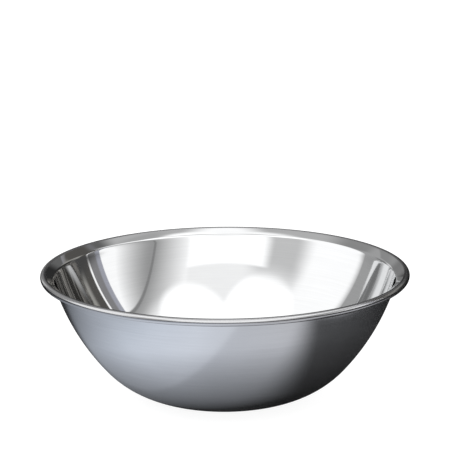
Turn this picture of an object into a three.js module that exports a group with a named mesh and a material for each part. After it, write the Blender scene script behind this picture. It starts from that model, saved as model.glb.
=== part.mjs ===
// Mixing bowl: one disc of stainless steel sheet drawn into a round bowl, its edge
// flared into a short lip and curled outward and under into a hollow bead.
// Millimetres, +Z up, origin at the centre of the foot, on the surface it stands on.
import * as THREE from "three";

// Driving dimensions
const rimDiameter = 241; // across the outside of the bead
const height = 84; // from the surface it stands on to the top of the bead
const sheet = 0.6; // thickness of the steel
const footRadius = 32; // the flat that the bowl stands on
const kneeRadius = 65; // outside of the curve that turns the foot up into the wall
const kneeSlope = 48.4; // slope of the sheet where knee and wall meet, degrees
const wallRadius = 147.5; // outside of the wall's gentler curve
const beadRadius = 2.4; // outside of the rolled bead
const bendRadius = 3; // outside of the bend from the wall into the lip
const lipSlope = 37; // slope of the lip between wall and bead, degrees
const curlSlope = -255; // direction of the sheet where the curl stops, degrees
const stepsAround = 64; // facets round the bowl

// Steps along each stretch of the section
const kneeSteps = 8;
const wallSteps = 6;
const bendSteps = 3;
const curlSteps = 17;

const radians = THREE.MathUtils.degToRad;

// The section is followed from the foot outward and upward along the sheet's inner face.
// A direction is the angle of travel above the horizontal, and the other face of the
// sheet is one thickness to the right of it.
const ahead = (angle) => new THREE.Vector2(Math.cos(angle), Math.sin(angle));
const rightOf = (angle) => new THREE.Vector2(Math.sin(angle), -Math.cos(angle));

// Stations along a bend about a centre: side is 1 where the centre lies to the left of
// the path, so that the sheet turns upward, and -1 where it lies to the right.
function bend(centre, radius, from, to, steps, side) {
  return Array.from({ length: steps + 1 }, (_, i) => {
    const angle = from + ((to - from) * i) / steps;
    const point = rightOf(angle).multiplyScalar(side * radius).add(centre);
    return { point, angle };
  });
}

// Foot and knee: the inner face leaves the foot level and turns up about kneeCentre.
const kneeAngle = radians(kneeSlope);
const kneeCentre = new THREE.Vector2(footRadius, kneeRadius);
const wallCentre = rightOf(kneeAngle)
  .multiplyScalar(kneeRadius - wallRadius)
  .add(kneeCentre);

// Bead and lip: the bead touches the rim diameter and the full height, and the lip runs
// straight down from it to a bend whose centre is bendReach from the wall's centre.
const lipAngle = radians(lipSlope);
const beadCentre = new THREE.Vector2(rimDiameter / 2 - beadRadius, height - beadRadius);
const bendReach = wallRadius - sheet + bendRadius;
const lipEnd = rightOf(lipAngle)
  .multiplyScalar(bendRadius - beadRadius)
  .add(beadCentre);
const fromWallCentre = lipEnd.clone().sub(wallCentre);
const along = fromWallCentre.dot(ahead(lipAngle));
const lipLength = along - Math.sqrt(along ** 2 - fromWallCentre.lengthSq() + bendReach ** 2);
const bendCentre = lipEnd.clone().addScaledVector(ahead(lipAngle), -lipLength);
const towardsBend = bendCentre.clone().sub(wallCentre);
const wallTopAngle = Math.atan2(towardsBend.x, -towardsBend.y);

const stations = [
  { point: new THREE.Vector2(0, sheet), angle: 0 },
  ...bend(kneeCentre, kneeRadius - sheet, 0, kneeAngle, kneeSteps, 1),
  ...bend(wallCentre, wallRadius - sheet, kneeAngle, wallTopAngle, wallSteps, 1).slice(1),
  ...bend(bendCentre, bendRadius, wallTopAngle, lipAngle, bendSteps, -1).slice(1),
  ...bend(beadCentre, beadRadius, lipAngle, radians(curlSlope), curlSteps, -1),
];

// The closed section: out along the outer face, round the raw edge, back along the inner.
const innerFace = stations.map(({ point }) => point);
const outerFace = stations.map(({ point, angle }) =>
  rightOf(angle).multiplyScalar(sheet).add(point),
);
const section = [...outerFace, ...innerFace.reverse()];

function makeBowl() {
  const geometry = new THREE.LatheGeometry(section, stepsAround);
  geometry.rotateX(Math.PI / 2);
  const steel = new THREE.MeshStandardMaterial({
    color: 0xb9babd,
    metalness: 1,
    roughness: 0.22,
  });
  const bowl = new THREE.Mesh(geometry, steel);
  bowl.name = "bowl";
  return bowl;
}

const group = new THREE.Group();
group.add(makeBowl());

export default group;
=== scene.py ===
"""Stainless steel mixing bowl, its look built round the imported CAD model.

Metres, +Z up. The bowl stands on z = 0 round the Z axis, and the camera looks along +Y.
"""

from math import atan2, cos, pi, radians, sin, sqrt

import bmesh
import bpy
from mathutils import Matrix, Vector

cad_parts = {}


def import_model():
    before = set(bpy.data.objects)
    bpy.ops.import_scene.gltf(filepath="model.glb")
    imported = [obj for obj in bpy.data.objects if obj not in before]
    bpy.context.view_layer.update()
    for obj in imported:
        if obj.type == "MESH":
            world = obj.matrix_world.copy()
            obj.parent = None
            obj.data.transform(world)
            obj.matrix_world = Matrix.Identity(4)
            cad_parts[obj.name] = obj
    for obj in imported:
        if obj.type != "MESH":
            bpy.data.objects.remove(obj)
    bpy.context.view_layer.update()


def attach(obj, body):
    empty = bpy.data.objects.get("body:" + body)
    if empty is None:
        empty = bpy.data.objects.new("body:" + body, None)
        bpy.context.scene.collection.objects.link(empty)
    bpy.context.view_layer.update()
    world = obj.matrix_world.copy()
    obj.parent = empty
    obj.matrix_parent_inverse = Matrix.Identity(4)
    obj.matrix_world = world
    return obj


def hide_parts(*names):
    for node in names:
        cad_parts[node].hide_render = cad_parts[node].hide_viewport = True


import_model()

# ---------------------------------------------------------------- driving dimensions
RIM_RADIUS = 0.1205  # to the outside of the bead
HEIGHT = 0.084  # to the top of the bead
SHEET = 0.0006
FOOT_RADIUS = 0.032
KNEE_RADIUS = 0.065  # outside of the curve between foot and wall
KNEE_SLOPE = radians(48.4)
WALL_RADIUS = 0.1475  # outside of the wall's curve
BEND_RADIUS = 0.003  # outside of the bend from the wall into the lip
LIP_SLOPE = radians(37)
BEAD_RADIUS = 0.0024  # outside of the rolled bead
CURL_SLOPE = radians(-255)  # direction of the sheet where the curl stops

STEPS_AROUND = 288
FOOT_STEPS = 4
KNEE_STEPS = 32
WALL_STEPS = 36
BEND_STEPS = 6
CURL_STEPS = 48


# ---------------------------------------------------------------- the bowl's section
def ahead(angle):
    return Vector((cos(angle), sin(angle)))


def right_of(angle):
    return Vector((sin(angle), -cos(angle)))


def bend(centre, radius, start, end, steps, side):
    """Points and directions along an arc of the inner face; side is 1 where it turns upward."""
    angles = [start + (end - start) * i / steps for i in range(steps + 1)]
    return [(centre + right_of(a) * side * radius, a) for a in angles]


def inner_face():
    """The sheet's inner face from the axis out to the end of the curl."""
    foot_level = Vector((0, SHEET))
    knee_centre = Vector((FOOT_RADIUS, KNEE_RADIUS))
    wall_centre = knee_centre + right_of(KNEE_SLOPE) * (KNEE_RADIUS - WALL_RADIUS)
    bead_centre = Vector((RIM_RADIUS - BEAD_RADIUS, HEIGHT - BEAD_RADIUS))

    # The lip runs straight down from the bead to a bend that also touches the wall.
    reach = WALL_RADIUS - SHEET + BEND_RADIUS
    lip_end = bead_centre + right_of(LIP_SLOPE) * (BEND_RADIUS - BEAD_RADIUS)
    across = lip_end - wall_centre
    along = across.dot(ahead(LIP_SLOPE))
    lip_length = along - sqrt(along**2 - across.length_squared + reach**2)
    bend_centre = lip_end - ahead(LIP_SLOPE) * lip_length
    towards_bend = bend_centre - wall_centre
    wall_top = atan2(towards_bend.x, -towards_bend.y)

    foot = [(foot_level + Vector((FOOT_RADIUS * i / FOOT_STEPS, 0)), 0) for i in range(FOOT_STEPS)]
    knee = bend(knee_centre, KNEE_RADIUS - SHEET, 0, KNEE_SLOPE, KNEE_STEPS, 1)
    wall = bend(wall_centre, WALL_RADIUS - SHEET, KNEE_SLOPE, wall_top, WALL_STEPS, 1)
    lip_bend = bend(bend_centre, BEND_RADIUS, wall_top, LIP_SLOPE, BEND_STEPS, -1)
    curl = bend(bead_centre, BEAD_RADIUS, LIP_SLOPE, CURL_SLOPE, CURL_STEPS, -1)
    return foot + knee + wall[1:] + lip_bend[1:] + curl


# ---------------------------------------------------------------- nodes
class Nodes:
    """A short way to write a node tree: each call adds one node and returns an output."""

    def __init__(self, tree):
        self.tree = tree
        tree.nodes.clear()

    def add(self, kind, inputs=None, output=0, **settings):
        node = self.tree.nodes.new(kind)
        for name, value in settings.items():
            setattr(node, name, value)
        for key, value in (inputs or {}).items():
            self.feed(node.inputs[key], value)
        return node.outputs[output] if len(node.outputs) else node

    def feed(self, socket, value):
        if isinstance(value, bpy.types.NodeSocket):
            self.tree.links.new(value, socket)
        else:
            socket.default_value = value

    def math(self, operation, a, b=0.0):
        return self.add("ShaderNodeMath", {0: a, 1: b}, operation=operation)

    def remap(self, value, low, high, to_low, to_high, smooth=False):
        return self.add(
            "ShaderNodeMapRange",
            {"Value": value, "From Min": low, "From Max": high, "To Min": to_low, "To Max": to_high},
            interpolation_type="SMOOTHSTEP" if smooth else "LINEAR",
        )

    def noise(self, vector, scale, detail=2.0, roughness=0.5):
        return self.add(
            "ShaderNodeTexNoise",
            {"Vector": vector, "Scale": scale, "Detail": detail, "Roughness": roughness},
        )


def new_material(name):
    material = bpy.data.materials.new(name)
    material.use_nodes = True
    return material, Nodes(material.node_tree)


# ---------------------------------------------------------------- steel
# How often each pattern repeats in a metre
COARSE_LINES = 900.0
FINE_LINES = 5000.0
CLOUDS = 28.0
SWELL = 14.0


def lathe_coordinates(nodes, around, along):
    """Seamless coordinates on the turned sheet: 'around' waves a turn and 'along' per metre."""
    place = nodes.add("ShaderNodeTexCoord", output="Object")
    flat = nodes.add("ShaderNodeVectorMath", {0: place, 1: (1, 1, 0)}, operation="MULTIPLY")
    unit = nodes.add("ShaderNodeVectorMath", {0: flat}, operation="NORMALIZE")
    spread = nodes.add("ShaderNodeVectorMath", {0: unit, "Scale": around}, operation="SCALE")
    parts = nodes.tree.nodes.new("ShaderNodeSeparateXYZ")
    nodes.feed(parts.inputs[0], spread)
    arc = nodes.add("ShaderNodeAttribute", output="Fac", attribute_name="along")
    return nodes.add(
        "ShaderNodeCombineXYZ",
        {"X": parts.outputs["X"], "Y": parts.outputs["Y"], "Z": nodes.math("MULTIPLY", arc, along)},
    )


def steel(name, tint, roughness, spread, anisotropy, lines, dents):
    """Stainless steel: turned lines round the axis, cloudy gloss and faint unevenness.

    Spread is how far the roughness varies each way. Lines and dents are heights in metres.
    """
    material, nodes = new_material(name)
    place = nodes.add("ShaderNodeTexCoord", output="Object")
    coarse_lines = nodes.noise(lathe_coordinates(nodes, 2.0, COARSE_LINES), 1.0, 3.0, 0.6)
    fine_lines = nodes.noise(lathe_coordinates(nodes, 6.0, FINE_LINES), 1.0, 2.0, 0.6)
    clouds = nodes.noise(place, CLOUDS, 4.0, 0.55)
    swell = nodes.noise(place, SWELL, 1.0, 0.4)

    from_lines = nodes.math("MULTIPLY", coarse_lines, 0.6)
    from_clouds = nodes.math("MULTIPLY", clouds, 0.4)
    mixed = nodes.math("ADD", from_lines, from_clouds)
    gloss = nodes.remap(mixed, 0.3, 0.7, roughness - spread, roughness + spread)
    shade = nodes.remap(mixed, 0.3, 0.7, 0.96, 1.03)
    colour = nodes.add("ShaderNodeVectorMath", {0: tint, "Scale": shade}, operation="SCALE")

    height = nodes.math("MULTIPLY", swell, dents)
    height = nodes.math("ADD", height, nodes.math("MULTIPLY", coarse_lines, lines))
    height = nodes.math("ADD", height, nodes.math("MULTIPLY", fine_lines, lines * 0.25))
    bump = nodes.add("ShaderNodeBump", {"Height": height, "Strength": 1.0, "Distance": 1.0})
    shader = nodes.add(
        "ShaderNodeBsdfPrincipled",
        {
            "Base Color": colour,
            "Metallic": 1.0,
            "Roughness": gloss,
            "Anisotropic": anisotropy,
            "Normal": bump,
        },
    )
    if anisotropy:
        round_axis = nodes.add("ShaderNodeTangent", direction_type="RADIAL", axis="Z")
        nodes.feed(shader.node.inputs["Tangent"], round_axis)
    nodes.add("ShaderNodeOutputMaterial", {"Surface": shader})
    return material


# ---------------------------------------------------------------- the bowl
SATIN, BEAD, MIRROR, EDGE = range(4)


def finishes():
    """The bowl's materials, in the order of the numbers above."""
    return [
        steel(
            "satin_steel",
            tint=(0.64, 0.65, 0.665),
            roughness=0.17,
            spread=0.02,
            anisotropy=0.3,
            lines=4e-7,
            dents=1e-5,
        ),
        # The bead is the same steel as the body, tinted darker: painted shade for the dark reflections
        # along it.
        steel(
            "bead_steel_painted_darker",
            tint=(0.57, 0.57, 0.58),
            roughness=0.18,
            spread=0.03,
            anisotropy=0.0,
            lines=5e-7,
            dents=1e-5,
        ),
        steel(
            "mirror_steel",
            tint=(0.70, 0.705, 0.71),
            roughness=0.04,
            spread=0.015,
            anisotropy=0.0,
            lines=2e-7,
            dents=2e-5,
        ),
        steel(
            "cut_edge",
            tint=(0.5, 0.5, 0.51),
            roughness=0.4,
            spread=0.05,
            anisotropy=0.0,
            lines=2e-6,
            dents=3e-5,
        ),
    ]


def turned(section):
    """Corners and faces of a section turned round the Z axis, which its ends lie on."""
    rings = section[1:-1]
    verts = [Vector((0, 0, section[0].y))]
    for point in rings:
        for step in range(STEPS_AROUND):
            turn = 2 * pi * step / STEPS_AROUND
            verts.append(Vector((point.x * cos(turn), point.x * sin(turn), point.y)))
    verts.append(Vector((0, 0, section[-1].y)))

    def vert(ring, step):
        return 1 + ring * STEPS_AROUND + step % STEPS_AROUND

    last = len(rings) - 1
    faces = [(0, vert(0, s + 1), vert(0, s)) for s in range(STEPS_AROUND)]
    for ring in range(last):
        above = ring + 1
        for s in range(STEPS_AROUND):
            faces.append((vert(ring, s), vert(ring, s + 1), vert(above, s + 1), vert(above, s)))
    faces += [(len(verts) - 1, vert(last, s), vert(last, s + 1)) for s in range(STEPS_AROUND)]
    return verts, faces


def store_distance(mesh, section):
    """Stores each corner's distance along the section, which the turned lines follow."""
    travelled = [0.0]
    for start, end in zip(section, section[1:]):
        travelled.append(travelled[-1] + (end - start).length)
    values = [travelled[0]]
    for distance in travelled[1:-1]:
        values += [distance] * STEPS_AROUND
    values.append(travelled[-1])
    along = mesh.attributes.new("along", "FLOAT", "POINT")
    along.data.foreach_set("value", values)


def drawn_bowl():
    """The sheet's closed section, out along the outer face and back along the inner one,
    turned round the Z axis."""
    inner = inner_face()
    outer = [point + right_of(angle) * SHEET for point, angle in inner]
    section = outer + [point for point, _ in reversed(inner)]
    verts, faces = turned(section)
    mesh = bpy.data.meshes.new("drawn_bowl")
    mesh.from_pydata(verts, [], faces)
    mesh.shade_smooth()
    store_distance(mesh, section)

    # Each band between two points of the section has its own finish.
    for material in finishes():
        mesh.materials.append(material)
    body_bands = len(inner) - CURL_STEPS - 1
    bands = [SATIN] * body_bands + [BEAD] * CURL_STEPS + [EDGE]
    bands += [BEAD] * CURL_STEPS + [MIRROR] * body_bands
    finish = []
    for band in bands:
        finish += [band] * STEPS_AROUND
    mesh.polygons.foreach_set("material_index", finish)
    mesh.update()

    bowl = bpy.data.objects.new("drawn_bowl", mesh)
    bpy.context.scene.collection.objects.link(bowl)
    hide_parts("bowl")
    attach(bowl, "root")


# ---------------------------------------------------------------- studio
ROOM_DISTANCE = 12.0  # far enough for every point of the bowl to see the room alike
FLOOR_REACH = 10.0  # from the bowl to each edge of the floor
FLOOR_DROP = 0.0002  # keeps the floor clear of the foot

CAMERA_DISTANCE = 1.332
CAMERA_ELEVATION = 18.13  # degrees
CAMERA_AIM = Vector((0.00025, 0, 0.1134))
CAMERA_ROLL = radians(-0.368)


def towards(azimuth, elevation, distance):
    """A place seen from the bowl: azimuth 0 is on the camera's side and 90 on its right."""
    a, e = radians(azimuth), radians(elevation)
    return Vector((sin(a) * cos(e), -cos(a) * cos(e), sin(e))) * distance


def add_staged(name, corners, material):
    mesh = bpy.data.meshes.new(name)
    mesh.from_pydata(corners, [], [range(len(corners))])
    mesh.materials.append(material)
    obj = bpy.data.objects.new(name, mesh)
    bpy.context.scene.collection.objects.link(obj)
    return obj


def square(half):
    return [(-half, -half, 0), (half, -half, 0), (half, half, 0), (-half, half, 0)]


def show_only_in_reflections(obj):
    obj.visible_camera = False
    obj.visible_diffuse = False
    obj.visible_shadow = False
    obj.visible_transmission = False


class Room:
    """The room as the steel sees it: lamps, screens and walls painted one over another on a
    far dome. Places, sizes and the widths of soft edges are degrees, as seen from the bowl."""

    def __init__(self, level):
        self.material, self.nodes = new_material("room")
        nodes = self.nodes
        place = nodes.add("ShaderNodeTexCoord", output="Object")
        self.direction = nodes.add("ShaderNodeVectorMath", {0: place}, operation="NORMALIZE")
        parts = nodes.tree.nodes.new("ShaderNodeSeparateXYZ")
        nodes.feed(parts.inputs[0], self.direction)
        x, y, z = parts.outputs
        turn = nodes.math("ARCTAN2", x, nodes.math("MULTIPLY", y, -1.0))
        self.azimuth = nodes.math("DEGREES", turn)
        self.elevation = nodes.math("DEGREES", nodes.math("ARCSINE", z))
        white = (1, 1, 1)
        self.light = nodes.add("ShaderNodeVectorMath", {0: white, "Scale": level}, operation="SCALE")

    def paint(self, mask, level, colour=(1, 1, 1)):
        """Covers what was painted before, as far as the mask is 1."""
        tinted = self.nodes.add("ShaderNodeVectorMath", {0: colour, "Scale": level}, operation="SCALE")
        self.light = self.nodes.add(
            "ShaderNodeMix", {0: mask, 4: self.light, 5: tinted}, output=1, data_type="VECTOR"
        )

    def from_centre(self, azimuth, elevation):
        """Angle between each direction and a centre."""
        centre = towards(azimuth, elevation, 1.0)
        near = self.nodes.add(
            "ShaderNodeVectorMath", {0: self.direction, 1: centre}, operation="DOT_PRODUCT", output="Value"
        )
        return self.nodes.math("DEGREES", self.nodes.math("ARCCOSINE", near))

    def disc(self, azimuth, elevation, radius, edge):
        """1 inside a disc, falling to 0 over its edge."""
        away = self.from_centre(azimuth, elevation)
        return self.nodes.remap(away, radius - edge, radius + edge, 1.0, 0.0, smooth=True)

    def band(self, value, low, high, edge):
        """1 between low and high, falling to 0 over an edge at each end."""
        nodes = self.nodes
        away = nodes.math("ABSOLUTE", nodes.math("SUBTRACT", value, (low + high) / 2))
        half = (high - low) / 2
        return nodes.remap(away, half - edge, half + edge, 1.0, 0.0, smooth=True)

    def panel(self, azimuths, elevations, edges, lean=0.0):
        """1 inside a panel; lean moves it this many degrees sideways a degree of height."""
        nodes = self.nodes
        middle = (azimuths[0] + azimuths[1]) / 2
        aside = nodes.math("SUBTRACT", self.azimuth, nodes.math("MULTIPLY", self.elevation, lean))
        aside = nodes.add("ShaderNodeMath", {0: aside, 1: middle + 180, 2: middle - 180}, operation="WRAP")
        return nodes.math(
            "MULTIPLY",
            self.band(aside, *azimuths, edges[0]),
            self.band(self.elevation, *elevations, edges[1]),
        )


def room():
    """A made-up room, fitted until the steel shows roughly what the photograph's steel shows."""
    here = Room(level=1.4)
    paint_behind(here)
    paint_in_front(here)
    paint_reflector(here)
    paint_right_wall(here)
    paint_low_belt(here)
    paint_shade_in_second_reflections(here)

    nodes = here.nodes
    glow = nodes.add("ShaderNodeEmission", {"Color": here.light, "Strength": 1.0})
    nodes.add("ShaderNodeOutputMaterial", {"Surface": glow})
    here.material.cycles.emission_sampling = "NONE"
    add_dome("room", here.material)


def paint_behind(here):
    """High up in front, a dimmer part of the ceiling, and behind the bowl, the dark room."""
    ceiling = here.panel((-95, 95), (50, 80), (10, 3))
    back_wall = here.panel((112, 248), (-10, 80), (6, 5))
    right_corner = here.panel((95, 126), (40, 70), (4, 4))
    darkest_part = here.panel((120, 200), (-10, 50), (6, 4))
    left_corner = here.panel((200, 246), (-10, 52), (6, 6))
    here.paint(ceiling, 1.0)
    here.paint(back_wall, 0.6)
    here.paint(right_corner, 0.5)
    here.paint(darkest_part, 0.16)
    here.paint(left_corner, 0.34)


def paint_in_front(here):
    """A pale screen, a lamp and a grey flag on the left of it, and a softbox below."""
    screen = here.panel((-62, 60), (30, 62), (4, 4))
    left_lamp = here.disc(-42, 59, 23, 2.5)
    flag = here.panel((-62, -22), (8, 36), (9, 8))
    softbox = here.panel((-33, 40), (-5, 33.5), (5, 0.8))
    here.paint(screen, 1.22)
    here.paint(left_lamp, 1.6)
    here.paint(flag, 0.74)
    here.paint(softbox, 1.5)


def paint_reflector(here):
    """A round reflector on the right, with a dark rim, a dim wall behind it that brightens
    outward, and a second lamp above."""
    nodes = here.nodes
    centre = (86, -5.5)
    radius = 42.1
    dim = 0.42
    bright = 1.36
    away = here.from_centre(*centre)
    wall_level = nodes.remap(away, radius, radius + 24, dim, bright)
    wall = here.disc(*centre, radius + 23, 2)
    above = here.panel((54, 100), (44, 66), (4, 5))
    right_lamp = here.disc(45, 64, 23, 3)
    over_lamps = here.panel((-95, 95), (67, 83), (8, 3))
    here.paint(wall, wall_level)
    here.paint(above, 1.3)
    here.paint(right_lamp, 1.6)
    here.paint(over_lamps, 0.8)

    # The reflector brightens from its front edge to its back edge.
    slant = nodes.math("MULTIPLY", here.elevation, 0.9)
    sideways = nodes.math("SUBTRACT", here.azimuth, slant)
    share = nodes.math("POWER", nodes.remap(sideways, 37, 72, 0.0, 1.0), 1.4)
    here.paint(here.disc(*centre, radius, 0.3), nodes.remap(share, 0.0, 1.0, dim, bright))
    here.paint(here.band(away, radius - 1, radius + 0.5, 0.4), 0.3)


def paint_right_wall(here):
    """Behind the reflector, a dark wall in stripes with a bright slit, and on the left a
    grey one."""
    tall = (-10, 42)
    bluish_edge = here.panel((96, 150), tall, (0.4, 3), lean=0.18)
    dark_stripe = here.panel((100.5, 150), tall, (1.0, 3), lean=0.18)
    darkest_stripe = here.panel((108.5, 150), tall, (1.0, 3), lean=0.1)
    low_grey = here.panel((119, 150), (-10, 26), (2.0, 3), lean=0.1)
    slit = here.panel((108.8, 110.6), tall, (0.5, 3), lean=0.1)
    left_wall = here.panel((-150, -113), (-10, 36), (0.7, 3))
    here.paint(bluish_edge, 0.5, (0.93, 0.95, 1.08))
    here.paint(dark_stripe, 0.3, (0.98, 0.97, 1.0))
    here.paint(darkest_stripe, 0.11, (1.0, 0.96, 0.9))
    here.paint(low_grey, 0.4, (1.0, 0.98, 0.92))
    here.paint(slit, 1.4)
    here.paint(left_wall, 0.46)


def paint_low_belt(here):
    """The unlit belt between the table and the lamps."""
    front = here.panel((-55, 55), (-12, 12), (8, 3))
    back = here.panel((128, 188), (-12, 17), (6, 4))
    back_left = here.panel((188, 232), (-12, 17), (4, 4))
    pale_gap = here.panel((206, 216), (-2, 17), (3, 4))
    left = here.panel((-130, -50), (-10, 6), (8, 3))
    right = here.panel((36, 130), (-12, 9), (8, 3))
    here.paint(front, 0.2)
    here.paint(back, 0.03)
    here.paint(back_left, 0.25)
    here.paint(pale_gap, 0.8)
    here.paint(left, 0.4)
    here.paint(right, 0.08)


def paint_shade_in_second_reflections(here):
    """Painted reflection: where steel is seen in steel, the room shows dark upright stripes beside the
    reflector and on the left, with pale gaps between them. A single reflection shows none of them."""
    nodes = here.nodes
    bounces = nodes.add("ShaderNodeLightPath", output="Glossy Depth")
    again = nodes.math("GREATER_THAN", bounces, 1.5)
    flattened = nodes.math("MULTIPLY", here.elevation, 0.1)
    upright = nodes.add("ShaderNodeCombineXYZ", {"X": here.azimuth, "Y": flattened})
    gaps = nodes.remap(nodes.noise(upright, 0.16, 3.0, 0.7), 0.42, 0.66, 0.0, 1.0)
    shade = nodes.remap(nodes.math("POWER", gaps, 2.0), 0.0, 1.0, 0.05, 0.75)

    leaning = nodes.math("ADD", here.azimuth, nodes.math("MULTIPLY", here.elevation, 1.5))
    right_side = nodes.remap(leaning, 103, 116, 0.0, 1.0, smooth=True)
    here.paint(nodes.math("MULTIPLY", again, right_side), shade, (1.0, 0.96, 0.9))
    left_side = here.band(here.azimuth, -90, -55, 6)
    here.paint(nodes.math("MULTIPLY", again, left_side), nodes.math("ADD", shade, 0.25))


def add_dome(name, material):
    bm = bmesh.new()
    bmesh.ops.create_uvsphere(bm, u_segments=64, v_segments=32, radius=ROOM_DISTANCE)
    bmesh.ops.reverse_faces(bm, faces=bm.faces)
    mesh = bpy.data.meshes.new(name)
    bm.to_mesh(mesh)
    bm.free()
    mesh.materials.append(material)
    obj = bpy.data.objects.new(name, mesh)
    bpy.context.scene.collection.objects.link(obj)
    show_only_in_reflections(obj)


def painted_table_reflection():
    """What the steel sees of the table, painted on a glowing card that only reflections see: bright in
    front and on the left, with the bowl's painted shadow under it and on the right."""
    material, nodes = new_material("painted_table_reflection")
    place = nodes.add("ShaderNodeTexCoord", output="Object")
    parts = nodes.tree.nodes.new("ShaderNodeSeparateXYZ")
    nodes.feed(parts.inputs[0], place)
    x = parts.outputs["X"]
    y = parts.outputs["Y"]

    def distance_from(middle):
        offset = nodes.add("ShaderNodeVectorMath", {0: place, 1: middle}, operation="SUBTRACT")
        return nodes.add("ShaderNodeVectorMath", {0: offset}, operation="LENGTH", output="Value")

    def beyond(px, py, nx, ny):
        """Distance beyond the line through (px, py) with the normal (nx, ny)."""
        across = nodes.math("MULTIPLY", nodes.math("SUBTRACT", x, px), nx)
        deep = nodes.math("MULTIPLY", nodes.math("SUBTRACT", y, py), ny)
        return nodes.math("ADD", across, deep)

    # The light falls off under the bowl and with distance, towards the back and both sides.
    under_bowl = nodes.remap(distance_from((0.012, 0, 0)), 0.058, 0.135, 0.02, 0.94)
    far = nodes.remap(distance_from((0, 0, 0)), 0.2, 0.5, 1.0, 0.3)
    to_back = nodes.remap(y, -0.08, 0.12, 0.95, 0.1)
    left_light = nodes.remap(x, -0.1, -0.01, 1.02, 0.81)
    far_left = nodes.remap(x, -0.16, -0.04, 0.6, 1.0)
    far_right = nodes.remap(x, 0.2, 0.4, 1.0, 0.1)

    # A lamp's light ends on a slanting line in front, and the shadow lies between two more.
    lamp_edge = beyond(-0.053, -0.058, 0.861, 0.508)
    lamp_light = nodes.remap(lamp_edge, -0.003, 0.003, 1.22, 1.0, smooth=True)
    front_edge = beyond(0.014, -0.054, 0.61, 0.79)
    inside_front = nodes.remap(front_edge, -0.02, 0.032, 0.0, 1.0, smooth=True)
    right_edge = beyond(0.178, -0.06, 0.874, -0.486)
    inside_right = nodes.remap(right_edge, -0.005, 0.008, 1.0, 0.0, smooth=True)
    shadow = nodes.math("MULTIPLY", inside_front, inside_right)
    lit = nodes.math("SUBTRACT", 1.0, nodes.math("MULTIPLY", shadow, 0.91))

    level = nodes.math("MULTIPLY", under_bowl, to_back)
    for factor in (left_light, lit, far, far_right, far_left, lamp_light):
        level = nodes.math("MULTIPLY", level, factor)
    grey = (0.965, 0.97, 1.015)
    bluish = (0.9, 0.965, 1.08)
    to_left = nodes.remap(x, -0.12, 0.1, 1.0, 0.0)
    tint = nodes.add(
        "ShaderNodeMix", {0: to_left, 4: grey, 5: bluish}, output=1, data_type="VECTOR"
    )
    glow = nodes.add("ShaderNodeEmission", {"Color": tint, "Strength": level})
    nodes.add("ShaderNodeOutputMaterial", {"Surface": glow})
    material.cycles.emission_sampling = "NONE"
    obj = add_staged("painted_table_reflection", square(FLOOR_REACH), material)
    obj.location.z = -FLOOR_DROP / 2
    show_only_in_reflections(obj)


def floor():
    """A pale floor that mostly glows by itself, so that it stays as white as the photograph's."""
    material, nodes = new_material("pale_floor")
    place = nodes.add("ShaderNodeTexCoord", output="Object")
    shade = nodes.remap(nodes.noise(place, 30.0, 4.0, 0.5), 0.3, 0.7, 0.83, 0.86)
    shader = nodes.add(
        "ShaderNodeBsdfPrincipled",
        {
            "Base Color": nodes.math("MULTIPLY", shade, 0.25),
            "Roughness": 0.8,
            "Specular IOR Level": 0.1,
            "Emission Color": (1, 1, 1, 1),
            "Emission Strength": 0.9,
        },
    )
    nodes.add("ShaderNodeOutputMaterial", {"Surface": shader})
    obj = add_staged("floor", square(FLOOR_REACH), material)
    obj.location.z = -FLOOR_DROP


def world():
    white = bpy.data.worlds.new("studio")
    white.use_nodes = True
    nodes = Nodes(white.node_tree)
    light = nodes.add("ShaderNodeBackground", {"Color": (1, 1, 1, 1), "Strength": 1.5})
    nodes.add("ShaderNodeOutputWorld", {"Surface": light})
    bpy.context.scene.world = white


def camera():
    data = bpy.data.cameras.new("camera")
    data.sensor_width = 36
    data.lens = 160
    data.clip_end = 50
    obj = bpy.data.objects.new("camera", data)
    bpy.context.scene.collection.objects.link(obj)
    obj.location = towards(0, CAMERA_ELEVATION, CAMERA_DISTANCE)
    facing = (CAMERA_AIM - obj.location).to_track_quat("-Z", "Y").to_matrix()
    obj.rotation_euler = (facing @ Matrix.Rotation(CAMERA_ROLL, 3, "Z")).to_euler()
    bpy.context.scene.camera = obj


drawn_bowl()
floor()
world()
painted_table_reflection()
room()
camera()

scene = bpy.context.scene
scene.view_settings.view_transform = "Standard"
